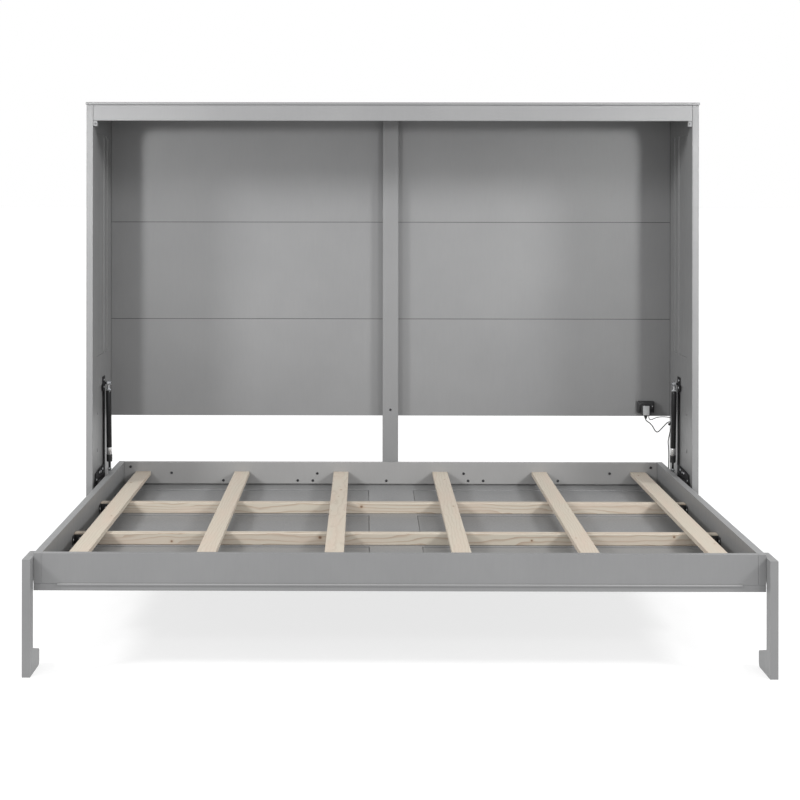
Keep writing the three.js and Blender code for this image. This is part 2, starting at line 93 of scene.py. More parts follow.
LEAD_ROUTE = [
    (0.9930, 0.3840, 0.5204), (0.9934, 0.3840, 0.5120), (0.9968, 0.3840, 0.5048), (1.0036, 0.3840, 0.5036),
    (1.0120, 0.3836, 0.5074), (1.0220, 0.3830, 0.5114), (1.0340, 0.3820, 0.5140), (1.0470, 0.3812, 0.5148),
    (1.0600, 0.3810, 0.5142), (1.0710, 0.3810, 0.5124), (1.0812, 0.3810, 0.5102),
]
COIL_CENTRE = (0.970, 0.345)
COIL_RADII = (0.028, 0.018)
COIL_TURNS = 5.5
COIL_POINTS_PER_TURN = 16
COIL_FLOOR_GAP = 0.0002

# A strut's start, end, piston and length are measured down from its upper eye.
STRUT = {
    "start": 0.028, "end": 0.300, "radius": 0.010, "band": 0.027, "cap": 0.028, "cap_radius": 0.011,
    "rod": 0.004, "piston": 0.0729, "length": 0.3424,
}

HOOK_PEG = {"radius": 0.0046, "length": 0.0065}
PIVOT_COLLAR_FACE_X = 1.0463
HINGE_PLATE_THICKNESS = 0.003
HINGE_BOLT_HEIGHT = 0.304
LEG_BOLT_GAP = 0.0003
POST_SCREW_HEIGHT = 0.540
# A rounded strip along the facade's top front edge, lighter than the lacquer round it: a painted highlight.
EDGE_HIGHLIGHT_STRIP = {"half_length": 0.975, "reach": 0.0030, "below": 0.0018, "above": 0.0012}
# Dark strips low in the grooves between the back boards, painted shade of the grooves: half height and
# depths.
JOINT_SHADE_STRIP = {"half_height": 0.0013, "front": 0.0002, "rear": 0.0030}

# Places on the cabinet's steel plates, as depth and height.
COVER = {"front": 0.040, "rear": 0.204, "bottom": 0.266, "top": 0.350, "thickness": 0.0026}
COVER_SCREWS = [
    (0.052, 0.284), (0.130, 0.276), (0.052, 0.326), (0.118, 0.342), (0.150, 0.340), (0.186, 0.344),
]
PLATE_RIVETS = [(0.249, 0.400), (0.249, 0.480), (0.249, 0.560), (0.222, 0.330)]

# Caps on the side panels, as depth, height and radius.
PANEL_CAPS = [(0.107, 0.561, 0.0055), (0.107, 0.426, 0.0080)]

# Places in the rear rail's inner face, as x and height.
RAIL_SCREWS = [
    (-0.995, 0.324), (0.995, 0.324), (-0.838, 0.301), (0.838, 0.301), (-0.640, 0.2726), (0.640, 0.2726),
    (-0.355, 0.2726), (0.355, 0.2726), (-0.297, 0.2726), (0.297, 0.2726), (-0.280, 0.300), (0.280, 0.300),
    (-0.016, 0.272),
]

# How far the edges of the CAD's boards and plates are eased.
BEVELS = {
    "top_board": 0.0025, "top_fascia": 0.0020, "centre_post": 0.0015, "top_back_rail": 0.0010,
    "rear_base_board": 0.0010, "front_rail": 0.0005, "rear_rail": 0.0010, "facade_frame": 0.0016,
    "side_panel": 0.0016, "side_rail": 0.0014, "leg": 0.0020, "back_board": 0.0016, "facade_panel": 0.0022,
    "slat": 0.0016, "beam": 0.0018, "steel_plate": 0.0006,
}
SLATS = 6

# Knots in the pine beams, as x, height above the beam's foot and size.
BEAM_KNOTS = [(-0.71, 0.011, 0.0022), (-0.24, 0.024, 0.0030), (0.43, 0.016, 0.0020), (0.88, 0.028, 0.0024)]

# CAD boards: vertices closer than this are joined, flatter faces merged and sharper edges eased.
WELD_GAP = 0.00002
FLAT_ANGLE = math.radians(0.5)
EDGE_ANGLE = math.radians(32)

# Own meshes are shaded smooth below this angle.
SMOOTH_ANGLE = math.radians(38)

FLOOR_REACH = 200
WORLD_STRENGTH = 1.0

# Lamps on the right, each mirrored on the left: place, target, size, power and spread in degrees.
LAMPS = {
    "low_narrow": ((2.2, -3.3, 1.78), (1.2, 0.8, 1.3), 0.35, 3.6, 45),
    "low_wide": ((2.2, -3.3, 1.78), (0.3, 0.8, 1.1), 0.35, 7.6, 120),
    "high": ((4.05, -2.25, 3.2), (0, 0.5, 1.0), 1.0, 76, 120),
}

# ---------------------------------------------------------------- places taken from the frame

JOINTS = {joint["name"]: joint for joint in frame["joints"]}
SIDES = (("left", -1), ("right", 1))
CABINET_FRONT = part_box("right_side_panel")[0].y
BED_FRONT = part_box("front_rail")[0].y


def in_cabinet(x, depth, z):
    """A point given by its depth behind the cabinet's front plane."""
    return Vector((x, CABINET_FRONT + depth, z))


# ---------------------------------------------------------------- camera

def add_camera():
    """The camera looks level at the bed from in front, with its picture shifted down."""
    camera = bpy.data.cameras.new("camera")
    camera.lens = CAMERA_LENS
    camera.shift_x, camera.shift_y = CAMERA_SHIFT
    holder = bpy.data.objects.new("camera", camera)
    holder.location = CAMERA_PLACE
    holder.rotation_euler = CAMERA_TURN
    bpy.context.scene.collection.objects.link(holder)
    bpy.context.scene.camera = holder


add_camera()

# ---------------------------------------------------------------- material helpers

def add_node(tree, kind, inputs=None, **settings):
    """A shader node with its settings, and its inputs set to values or linked to other nodes' outputs."""
    made = tree.nodes.new(kind)
    for key, value in settings.items():
        setattr(made, key, value)
    for key, value in (inputs or {}).items():
        if isinstance(value, bpy.types.NodeSocket):
            tree.links.new(value, made.inputs[key])
        else:
            made.inputs[key].default_value = value
    return made


def blank_material(name):
    """A new material, its node tree and its one Principled shader."""
    material = bpy.data.materials.new(name)
    material.use_nodes = True
    tree = material.node_tree
    return material, tree, tree.nodes["Principled BSDF"]


def object_place(tree):
    """The point in the object's own coordinates."""
    return add_node(tree, "ShaderNodeTexCoord").outputs["Object"]


def noise(tree, place, scale, detail=3.0, roughness=0.5):
    values = {"Vector": place, "Scale": scale, "Detail": detail, "Roughness": roughness}
    return add_node(tree, "ShaderNodeTexNoise", values).outputs["Fac"]


def stretched(tree, place, scale, location=(0, 0, 0), rotation=(0, 0, 0)):
    values = {"Vector": place, "Scale": scale, "Location": location, "Rotation": rotation}
    return add_node(tree, "ShaderNodeMapping", values).outputs["Vector"]


def ranged(tree, value, low, high, start=0.0, end=1.0):
    """The value's stretch from start to end, spread over low to high."""
    values = {"Value": value, "From Min": start, "From Max": end, "To Min": low, "To Max": high}
    return add_node(tree, "ShaderNodeMapRange", values).outputs["Result"]


def ramp(tree, value, stops):
    """A colour for the value, from (position, (r, g, b)) stops."""
    made = add_node(tree, "ShaderNodeValToRGB", {"Fac": value})
    elements = made.color_ramp.elements
    while len(elements) < len(stops):
        elements.new(0.5)
    for element, (position, colour) in zip(elements, stops):
        element.position = position
        element.color = (*colour, 1)
    return made.outputs["Color"]


def arithmetic(tree, operation, first, second):
    return add_node(tree, "ShaderNodeMath", {0: first, 1: second}, operation=operation).outputs["Value"]


def blended(tree, factor, first, second):
    """Two colours mixed by a factor."""
    values = {"Fac": factor, "Color1": first, "Color2": second}
    return add_node(tree, "ShaderNodeMixRGB", values).outputs["Color"]


def bump(tree, shader, height, strength, distance, under=None):
    """Relief on the shader's surface, on top of the relief under it."""
    values = {"Height": height, "Strength": strength, "Distance": distance}
    if under is not None:
        values["Normal"] = under
    made = add_node(tree, "ShaderNodeBump", values)
    tree.links.new(made.outputs["Normal"], shader.inputs["Normal"])
    return made.outputs["Normal"]


# ---------------------------------------------------------------- materials

def painted_board(name, dark, light):
    """Satin grey lacquer on board: a slow change of tone, faint roller marks and a fine orange peel."""
    material, tree, shader = blank_material(name)
    place = object_place(tree)
    cloud = noise(tree, place, 2.6, 4.0, 0.55)
    roller = noise(tree, stretched(tree, place, (9, 9, 1.2)), 16.0, 3.0, 0.6)
    peel = noise(tree, place, 620.0, 2.0)
    slow = arithmetic(tree, "MULTIPLY", cloud, 0.75)
    quick = arithmetic(tree, "MULTIPLY", roller, 0.25)
    colour = ramp(tree, arithmetic(tree, "ADD", slow, quick), [(0.32, dark), (0.68, light)])
    tree.links.new(colour, shader.inputs["Base Color"])
    tree.links.new(ranged(tree, roller, 0.40, 0.52, 0.3, 0.7), shader.inputs["Roughness"])
    coarse = bump(tree, shader, roller, 0.06, 0.0006)
    bump(tree, shader, peel, 0.07, 0.00025, coarse)
    return material


PINE = {
    "early": (0.438, 0.398, 0.332, 1), "late": (0.285, 0.210, 0.156, 1), "warm": (0.450, 0.370, 0.305, 1),
    "fibre": (0.330, 0.270, 0.205, 1), "halo": (0.36, 0.265, 0.18, 1), "knot": (0.155, 0.090, 0.055, 1),
}


def pine(name, along, offset, knots, rings, contrast):
    """Planed pine with its grain along X or Y. Rings run round a pith outside the board, past a few knots."""
    material, tree, shader = blank_material(name)
    place = object_place(tree)
    turn = (0, 0, 0) if along == "X" else (0, 0, math.pi / 2)
    board = stretched(tree, place, (1, 1, 1), rotation=turn)
    board = stretched(tree, board, (1, 1, 1), offset, (0, 0.010, 0.022))

    drift = noise(tree, stretched(tree, board, (1.4, 9, 9)), 2.2, 2.0)
    wave = add_node(tree, "ShaderNodeTexWave", {
        "Vector": board, "Scale": rings, "Distortion": 4.0, "Detail": 2.0, "Detail Scale": 0.35,
        "Phase Offset": arithmetic(tree, "MULTIPLY", drift, 22.0),
    }, wave_type="RINGS", rings_direction="X", wave_profile="SAW").outputs["Fac"]
    fibre = noise(tree, stretched(tree, board, (7, 420, 420)), 3.0, 3.0, 0.7)
    patch = noise(tree, stretched(tree, board, (2.2, 14, 14)), 2.0, 3.0)

    late = ranged(tree, wave, 0.0, 1.0, 0.60, 1.0)
    grain = blended(tree, arithmetic(tree, "MULTIPLY", late, contrast), PINE["early"], PINE["late"])
    warm = blended(tree, ranged(tree, patch, 0.0, 0.8, 0.4, 0.75), grain, PINE["warm"])
    wood = blended(tree, ranged(tree, fibre, 0.0, 0.30, 0.45, 0.8), warm, PINE["fibre"])
    for x, y, z, size in knots:
        spot = stretched(tree, place, (1, 1, 1), (-x, -y, -z))
        near = stretched(tree, spot, (0.55, 1, 0.6) if along == "X" else (1, 0.55, 0.6))
        reach = add_node(tree, "ShaderNodeVectorMath", {0: near}, operation="LENGTH").outputs["Value"]
        ripple = arithmetic(tree, "MULTIPLY", noise(tree, place, 130.0), size * 0.5)
        wobble = arithmetic(tree, "ADD", reach, ripple)
        mask = ranged(tree, wobble, 1.0, 0.0, size * 0.7, size * 1.5)
        halo = ranged(tree, wobble, 0.4, 0.0, size * 1.0, size * 3.2)
        wood = blended(tree, halo, wood, PINE["halo"])
        wood = blended(tree, mask, wood, PINE["knot"])
    tree.links.new(wood, shader.inputs["Base Color"])
    tree.links.new(ranged(tree, fibre, 0.52, 0.68, 0.3, 0.7), shader.inputs["Roughness"])
    shader.inputs["Specular IOR Level"].default_value = 0.35
    coarse = bump(tree, shader, late, 0.10, 0.0004)
    bump(tree, shader, fibre, 0.18, 0.0003, coarse)
    return material


def powder_coat(name, roughness, specular):
    """Black powder coating on steel: a fine pebbled skin over a slightly uneven sheen."""
    material, tree, shader = blank_material(name)
    place = object_place(tree)
    pebble = noise(tree, place, 1500.0, 2.0)
    sheen = noise(tree, place, 38.0, 3.0)
    colour = ramp(tree, sheen, [(0.3, (0.017, 0.017, 0.018)), (0.7, (0.030, 0.030, 0.032))])
    tree.links.new(colour, shader.inputs["Base Color"])
    tree.links.new(ranged(tree, sheen, *roughness, 0.3, 0.7), shader.inputs["Roughness"])
    shader.inputs["Specular IOR Level"].default_value = specular
    bump(tree, shader, pebble, 0.10, 0.0002)
    return material


def gloss_black():
    """Smooth black lacquer on the struts' tubes, with faint lines round the tube."""
    material, tree, shader = blank_material("strut_black_lacquer")
    place = object_place(tree)
    lines = noise(tree, stretched(tree, place, (4, 4, 260)), 4.0, 2.0)
    colour = ramp(tree, lines, [(0.3, (0.008, 0.008, 0.009)), (0.7, (0.016, 0.016, 0.017))])
    tree.links.new(colour, shader.inputs["Base Color"])
    tree.links.new(ranged(tree, lines, 0.16, 0.22, 0.3, 0.7), shader.inputs["Roughness"])
    shader.inputs["Specular IOR Level"].default_value = 0.34
    bump(tree, shader, lines, 0.04, 0.0001)
    return material


def plated(name, dark, light):
    """Plated steel with a soft crystalline bloom and small scratches."""
    material, tree, shader = blank_material(name)
    place = object_place(tree)
    bloom = noise(tree, place, 220.0, 3.0)
    scratch = noise(tree, stretched(tree, place, (60, 900, 900), rotation=(0.3, 0.5, 0.2)), 2.0, 2.0)
    colour = ramp(tree, bloom, [(0.3, dark), (0.7, light)])
    tree.links.new(colour, shader.inputs["Base Color"])
    shader.inputs["Metallic"].default_value = 1.0
    tree.links.new(ranged(tree, bloom, 0.22, 0.40, 0.3, 0.7), shader.inputs["Roughness"])
    bump(tree, shader, scratch, 0.08, 0.0001)
    return material


def moulded_plastic(name, dark, light, roughness):
    """Moulded plastic with a fine spark-eroded texture."""
    material, tree, shader = blank_material(name)
    place = object_place(tree)
    spark = noise(tree, place, 2400.0, 2.0)
    flow = noise(tree, place, 46.0, 3.0)
    tree.links.new(ramp(tree, flow, [(0.3, dark), (0.7, light)]), shader.inputs["Base Color"])
    tree.links.new(ranged(tree, flow, *roughness, 0.3, 0.7), shader.inputs["Roughness"])
    bump(tree, shader, spark, 0.12, 0.00012)
    return material


def studio_floor():
    """A pale floor lit from beneath like a light table, so that shadows on it stay faint."""
    material, tree, shader = blank_material("pale_floor")
    grain = noise(tree, object_place(tree), 5.0, 4.0)
    colour = ramp(tree, grain, [(0.3, (0.29, 0.29, 0.29)), (0.7, (0.31, 0.31, 0.31))])
    tree.links.new(colour, shader.inputs["Base Color"])
    shader.inputs["Emission Color"].default_value = (1, 1, 1, 1)
    shader.inputs["Emission Strength"].default_value = 0.72
    tree.links.new(ranged(tree, grain, 0.7, 0.8, 0.3, 0.7), shader.inputs["Roughness"])
    shader.inputs["Specular IOR Level"].default_value = 0.2
    return material


PAINT = painted_board("satin_grey_lacquer", (0.163, 0.164, 0.166), (0.186, 0.187, 0.188))
# A lighter copy of the grey lacquer for the rear rail: painted light on a face that lies in the bed's shade.
REAR_RAIL_PAINTED_LIGHT = painted_board("satin_grey_lacquer_painted_light", (0.222, 0.220, 0.218), (0.248, 0.245, 0.242))
# A lighter lacquer for the strip on the facade's top front edge: a painted highlight.
EDGE_HIGHLIGHT_PAINT = painted_board("edge_painted_highlight_lacquer", (0.24, 0.24, 0.24), (0.27, 0.27, 0.27))
POWDER = powder_coat("black_powder_coat", (0.34, 0.48), 0.45)
MATT_STEEL = powder_coat("matt_black_coat", (0.70, 0.85), 0.12)
GLOSS = gloss_black()
ZINC = plated("bright_zinc", (0.58, 0.60, 0.62), (0.76, 0.77, 0.79))
SATIN_BAND = plated("satin_aluminium_band", (0.70, 0.70, 0.70), (0.80, 0.80, 0.80))
ROD_STEEL = plated("dark_nitrided_steel", (0.050, 0.050, 0.053), (0.090, 0.090, 0.095))
BLACK_PLASTIC = moulded_plastic(
    "black_moulded_plastic", (0.013, 0.013, 0.014), (0.022, 0.022, 0.023), (0.38, 0.52))
GREY_PLASTIC = moulded_plastic("grey_moulded_plastic", (0.36, 0.365, 0.37), (0.44, 0.445, 0.45), (0.32, 0.45))
CORD_PVC = moulded_plastic("cord_pvc", (0.030, 0.030, 0.032), (0.048, 0.048, 0.050), (0.42, 0.55))

# ---------------------------------------------------------------- mesh helpers

def piece(name, body, material, shape, replaced=(), turn=1):
    """Makes a bmesh into an object that rides on a body and stands for the replaced nodes.

    A turn of -1 mirrors a shape drawn on the right to the left.
    """
    for vertex in shape.verts:
        vertex.co.x *= turn
    bmesh.ops.recalc_face_normals(shape, faces=shape.faces)
    mesh = bpy.data.meshes.new(name)
    shape.to_mesh(mesh)
    shape.free()
    mesh.materials.append(material)
    made = bpy.data.objects.new(name, mesh)
    bpy.context.scene.collection.objects.link(made)
    mesh.shade_smooth()
    mesh.set_sharp_from_angle(angle=SMOOTH_ANGLE)
    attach(made, body)
    if replaced:
        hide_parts(*replaced)
    return made


def circle(radius, sides):
    """The corners of a regular outline round the Z axis."""
    angles = [2 * math.pi * index / sides for index in range(sides)]
    return [Vector((radius * math.cos(angle), radius * math.sin(angle))) for angle in angles]


def add_rings(shape, profile, place, sides):
    """A ring of vertices for each (radius, z) in the profile, or a single one where the radius is 0."""
    rings = []
    for radius, z in profile:
        corners = circle(radius, sides) if radius else [(0, 0)]
        rings.append([shape.verts.new(place @ Vector((*corner, z))) for corner in corners])
    return rings


def bridge(shape, lower, upper):
    """Faces between two rings of vertices, one of which may be a single vertex."""
    sides = max(len(lower), len(upper))
    for index in range(sides):
        following = (index + 1) % sides
        corners = [lower[index % len(lower)], lower[following % len(lower)],
                   upper[following % len(upper)], upper[index % len(upper)]]
        face = list(dict.fromkeys(corners))
        if len(face) > 2:
            shape.faces.new(face)


def add_turned(shape, profile, place, sides):
    """A closed turned form on the place's Z axis. Its (radius, z) profile starts and ends on the axis."""
    rings = add_rings(shape, profile, place, sides)
    for lower, upper in zip(rings, rings[1:]):
        bridge(shape, lower, upper)


def add_ring(shape, profile, place, sides):
    """A turned form with a bore. Its (radius, z) profile closes on itself."""
    rings = add_rings(shape, profile, place, sides)
    for lower, upper in zip(rings, rings[1:] + rings[:1]):
        bridge(shape, lower, upper)


def add_box(shape, low, high, bevel, segments):
    """A box between two corners, with rounded edges."""
    low, high = Vector(low), Vector(high)
    corners = bmesh.ops.create_cube(shape, size=1)["verts"]
    for vertex in corners:
        vertex.co = (low + high) / 2 + vertex.co * (high - low)
    edges = list(dict.fromkeys(edge for vertex in corners for edge in vertex.link_edges))
    bmesh.ops.bevel(shape, geom=edges, offset=bevel, segments=segments, profile=0.5, affect="EDGES")


def facing(point, direction):
    """A place whose Z axis points along the direction."""
    return Matrix.Translation(point) @ Vector(direction).to_track_quat("Z", "Y").to_matrix().to_4x4()


def cross(reach, width):
    """The twelve corners of a plus-shaped outline."""
    half = width / 2
    quarter = [(reach, -half), (reach, half), (half, half)]
    turns = [Matrix.Rotation(math.pi / 2 * turn, 2) for turn in range(4)]
    return [turn @ Vector(corner) for turn in turns for corner in quarter]


def add_head(shape, place, radius, height, shoulder, outline, depth):
    """A screw's or bolt's head on the place's Z axis: a rounded shoulder round a recess of that outline."""
    profile = [(radius, 0), (radius, height * (1 - shoulder)), (radius * 0.93, height * (1 - shoulder * 0.3)),
               (radius * 0.80, height)]
    rings = add_rings(shape, profile, place, 28)
    for lower, upper in zip(rings, rings[1:]):
        bridge(shape, lower, upper)
    shape.faces.new(list(reversed(rings[0])))

    mouth = [shape.verts.new(place @ Vector((*corner, height))) for corner in outline]
    floor = [shape.verts.new(place @ Vector((*(corner * 0.8), height - depth))) for corner in outline]
    lip = [shape.edges.new(ends) for ends in zip(mouth, mouth[1:] + mouth[:1])]
    rim = [shape.edges.get(ends) for ends in zip(rings[-1], rings[-1][1:] + rings[-1][:1])]
    bmesh.ops.triangle_fill(shape, use_beauty=True, edges=lip + rim)
    bridge(shape, mouth, floor)
    shape.faces.new(floor)


def add_screw(shape, point, direction, radius):
    """A nearly flat head with a cross recess."""
    recess = cross(radius * 0.55, radius * 0.26)
    add_head(shape, facing(point, direction), radius, radius * 0.34, 0.8, recess, radius * 0.24)


def add_socket_bolt(shape, point, direction, radius):
    """A tall head with a hexagonal socket."""
    recess = circle(radius * 0.45, 6)
    add_head(shape, facing(point, direction), radius, radius * 0.5, 0.3, recess, radius * 0.35)


def add_hexagon_nut(shape, place, across, height, bore):
    """A hexagonal nut with chamfered corners round a bore."""
    radius = across / math.sqrt(3)
    profile = [(bore, 0), (radius * 0.9, 0), (radius, height * 0.18), (radius, height * 0.82),
               (radius * 0.9, height), (bore, height)]
    add_ring(shape, profile, place, 6)


# ---------------------------------------------------------------- cords

def smooth_line(points, pieces=6):
    """A centripetal Catmull-Rom line through the points."""
    points = [Vector(point) for point in points]
    ends = [2 * points[0] - points[1], 2 * points[-1] - points[-2]]
    padded = [ends[0], *points, ends[1]]
    line = [points[0]]
    for a, b, c, d in zip(padded, padded[1:], padded[2:], padded[3:]):
        t1 = (b - a).length ** 0.5
        t2 = t1 + (c - b).length ** 0.5
        t3 = t2 + (d - c).length ** 0.5
        for step in range(1, pieces + 1):
            t = t1 + (t2 - t1) * step / pieces
            ab = a.lerp(b, t / t1)
            bc = b.lerp(c, (t - t1) / (t2 - t1))
            cd = c.lerp(d, (t - t2) / (t3 - t2))
            abc = ab.lerp(bc, t / t2)
            bcd = bc.lerp(cd, (t - t1) / (t3 - t1))
            line.append(abc.lerp(bcd, (t - t1) / (t2 - t1)))
    return line


def coil_route():
    """Two flat rows of turns: inwards on the floor, then outwards on top of it, and off towards the plug."""
    outer, inner = COIL_RADII
    radius = CORD_DIAMETER / 2
    steps = round(COIL_TURNS * COIL_POINTS_PER_TURN)
    middle = steps / 2
    points = []
    for step in range(1, steps + 1):
        angle = math.pi / 2 + 2 * math.pi * step / COIL_POINTS_PER_TURN
        share = abs(step - middle) / middle
        reach = inner + (outer - inner) * share
        climb = min(max((step - middle) / COIL_POINTS_PER_TURN + 0.5, 0), 1)
        height = COIL_FLOOR_GAP + radius + CORD_DIAMETER * climb
        x = COIL_CENTRE[0] + reach * math.cos(angle)
        depth = COIL_CENTRE[1] + reach * math.sin(angle)
        points.append((x, depth, height))
    return points


def add_tube(name, route, diameter, replaced):
    """A round cord along the route, in place of the CAD's cord nodes."""
    line = smooth_line([in_cabinet(*point) for point in route])
    curve = bpy.data.curves.new(name, "CURVE")
    curve.dimensions = "3D"
    curve.bevel_depth = diameter / 2
    curve.bevel_resolution = 4
    curve.use_fill_caps = True
    spline = curve.splines.new("POLY")
    spline.points.add(len(line) - 1)
    for point, place in zip(spline.points, line):
        point.co = (*place, 1)
    spline.use_smooth = True
    curve.materials.append(CORD_PVC)
    made = bpy.data.objects.new(name, curve)
    bpy.context.scene.collection.objects.link(made)
    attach(made, "cabinet")
    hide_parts(*replaced)
    return made


def add_plug():
    """A two-blade plug: a ribbed relief, a waisted grip and two flat blades with dimples."""
    low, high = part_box("cord_plug")
    relief_length, blade_length = 0.018, 0.017
    axis_y = (low.y + high.y) / 2
    axis_z = (low.z + high.z) / 2
    body_start = low.x + relief_length
    body_end = high.x - blade_length
    shape = bmesh.new()
    add_box(shape, (body_start, low.y, low.z + 0.0001), (body_end, high.y, high.z), 0.0042, 4)
    middle = (body_start + body_end) / 2
    for vertex in shape.verts:
        waist = 1 - 0.16 * math.exp(-((vertex.co.x - middle) / 0.008) ** 2)
        vertex.co.y = axis_y + (vertex.co.y - axis_y) * waist
    for offset in (-0.008, -0.004, 0, 0.004, 0.008):
        rib_low = (middle + offset - 0.0008, axis_y - 0.0075, high.z - 0.0012)
        rib_high = (middle + offset + 0.0008, axis_y + 0.0075, high.z)
        add_box(shape, rib_low, rib_high, 0.0004, 2)
    profile = [(0, 0)]
    for rib in range(5):
        start = rib * 0.0036
        thick = 0.0031 + rib * 0.0004
        profile += [(thick - 0.0007, start), (thick, start + 0.0006), (thick, start + 0.0022),
                    (thick - 0.0007, start + 0.0028)]
    profile += [(0.0048, relief_length + 0.001), (0, relief_length + 0.001)]
    along_x = facing((low.x, axis_y, axis_z), (1, 0, 0))
    add_turned(shape, profile, along_x, 24)
    body = piece("cord_plug_body", "cabinet", BLACK_PLASTIC, shape, ["cord_plug"])
    blades = bmesh.new()
    dimple = [(0, 0), (0.0013, 0), (0.0013, 0.00008), (0.0009, 0.00008), (0, 0.00001)]
    for offset in (-0.00635, 0.00635):
        blade_low = (body_end - 0.001, axis_y + offset - 0.00075, axis_z - 0.00315)
        blade_high = (high.x, axis_y + offset + 0.00075, axis_z + 0.00315)
        add_box(blades, blade_low, blade_high, 0.0003, 2)
        for side in (-1, 1):
            along_y = facing((high.x - 0.004, axis_y + offset + side * 0.00072, axis_z), (0, side, 0))
            add_turned(blades, dimple, along_y, 16)
    prongs = piece("cord_plug_blades", "cabinet", ZINC, blades)
    return body, prongs


def add_cords():
    """The power cord, with its plug at the end of a coil, and the outlet's own short lead."""
    plug_body, plug_blades = add_plug()
    plug_low, plug_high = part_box("cord_plug")
    plug_y = (plug_low.y + plug_high.y) / 2 - CABINET_FRONT
    plug_z = (plug_low.z + plug_high.z) / 2
    rise = [(plug_low.x - 0.009, plug_y, plug_z - 0.0006), (plug_low.x - 0.001, plug_y, plug_z)]
    route = CORD_ROUTE + coil_route() + rise + [(plug_low.x + 0.002, plug_y, plug_z)]
    cord = add_tube("power_cord_line", route, CORD_DIAMETER, ["power_cord", "cord_coil"])
    lead = add_tube("outlet_lead_line", LEAD_ROUTE, LEAD_DIAMETER, ["outlet_lead"])


add_cords()

# ---------------------------------------------------------------- boards of the cabinet and the bed

def edged(node, bevel, material, segments=3, corners="ADJ"):
    """A CAD node shown as it is, with its edges eased and its own material."""
    shown = frame["nodes"][node]
    for material_slot in shown.material_slots:
        material_slot.material = material
    weld = shown.modifiers.new("weld", "WELD")
    weld.merge_threshold = WELD_GAP
    flat = shown.modifiers.new("flat", "DECIMATE")
    flat.decimate_type = "DISSOLVE"
    flat.angle_limit = FLAT_ANGLE
    ease = shown.modifiers.new("ease", "BEVEL")
    ease.width = bevel
    ease.segments = segments
    ease.vmesh_method = corners
    ease.limit_method = "ANGLE"
    ease.angle_limit = EDGE_ANGLE


def ease_painted_boards():
    """Every painted board. Cut corners keep the side panels' eased edges inside their CAD box."""
    for node in ("top_board", "top_fascia", "centre_post", "top_back_rail", "rear_base_board", "front_rail",
                 "facade_frame"):
        edged(node, BEVELS[node], PAINT)
    # The rear rail takes the lighter copy of the lacquer, as painted light.
    edged("rear_rail", BEVELS["rear_rail"], REAR_RAIL_PAINTED_LIGHT)
    for side, _ in SIDES:
        edged(f"{side}_side_panel", BEVELS["side_panel"], PAINT, corners="CUTOFF")
        edged(f"{side}_side_rail", BEVELS["side_rail"], PAINT)
        edged(f"{side}_leg", BEVELS["leg"], PAINT)
        for row in ("lower", "middle", "upper"):
            edged(f"{side}_{row}_back_board", BEVELS["back_board"], PAINT)
        for row in ("front", "middle", "rear"):
            edged(f"facade_panel_{row}_{side}", BEVELS["facade_panel"], PAINT)


def ease_pine_boards():
    """Each slat and beam, with grain and knots of its own."""
    for index in range(1, SLATS + 1):
        node = f"slat_{index}"
        low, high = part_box(node)
        middle = (low + high) / 2
        knots = [
            (middle.x + 0.014 * math.sin(5.1 * index), 0.85 * math.sin(2.3 * index) - 0.1, high.z, 0.0034),
            (middle.x - 0.016 * math.cos(3.7 * index), 0.70 * math.cos(1.7 * index), high.z, 0.0022),
        ]
        offset = (0.37 * index, 0.09 + 0.013 * index, 0.06 + 0.009 * index)
        edged(node, BEVELS["slat"], pine(f"pine_{node}", "Y", offset, knots, 40.0, 0.42))
    for index, node in enumerate(("front_beam", "rear_beam")):
        low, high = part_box(node)
        knots = [(x + 0.13 * index, low.y, low.z + height, size) for x, height, size in BEAM_KNOTS]
        offset = (0.21 * index, 0.05 + 0.02 * index, 0.07 - 0.02 * index)
        edged(node, BEVELS["beam"], pine(f"pine_{node}", "X", offset, knots, 26.0, 0.85))


ease_painted_boards()
ease_pine_boards()

# ---------------------------------------------------------------- gas struts

def strut_place(side):
    """Where a strut's upper eye is, with the Z axis up along the strut and the X axis across it."""
    place = Vector(JOINTS[f"{side}_strut_tilt"]["pos_m"])
    up = -Vector(JOINTS[f"{side}_strut_extend"]["axis"]).normalized()
    across = Vector((1, 0, 0))
    turned = Matrix((across, up.cross(across), up)).transposed().to_4x4()
    return Matrix.Translation(place) @ turned


def add_eye(shape, place, height, radius, width, bore):
    """A rounded ring across the strut, at that height on its Z axis."""
    half = width / 2
    profile = [(bore, -half), (radius - 0.0012, -half), (radius, 0.0012 - half), (radius, half - 0.0012),
               (radius - 0.0012, half), (bore, half)]
    along = place @ Matrix.Translation((0, 0, height)) @ Matrix.Rotation(math.pi / 2, 4, "Y")
    add_ring(shape, profile, along, 32)


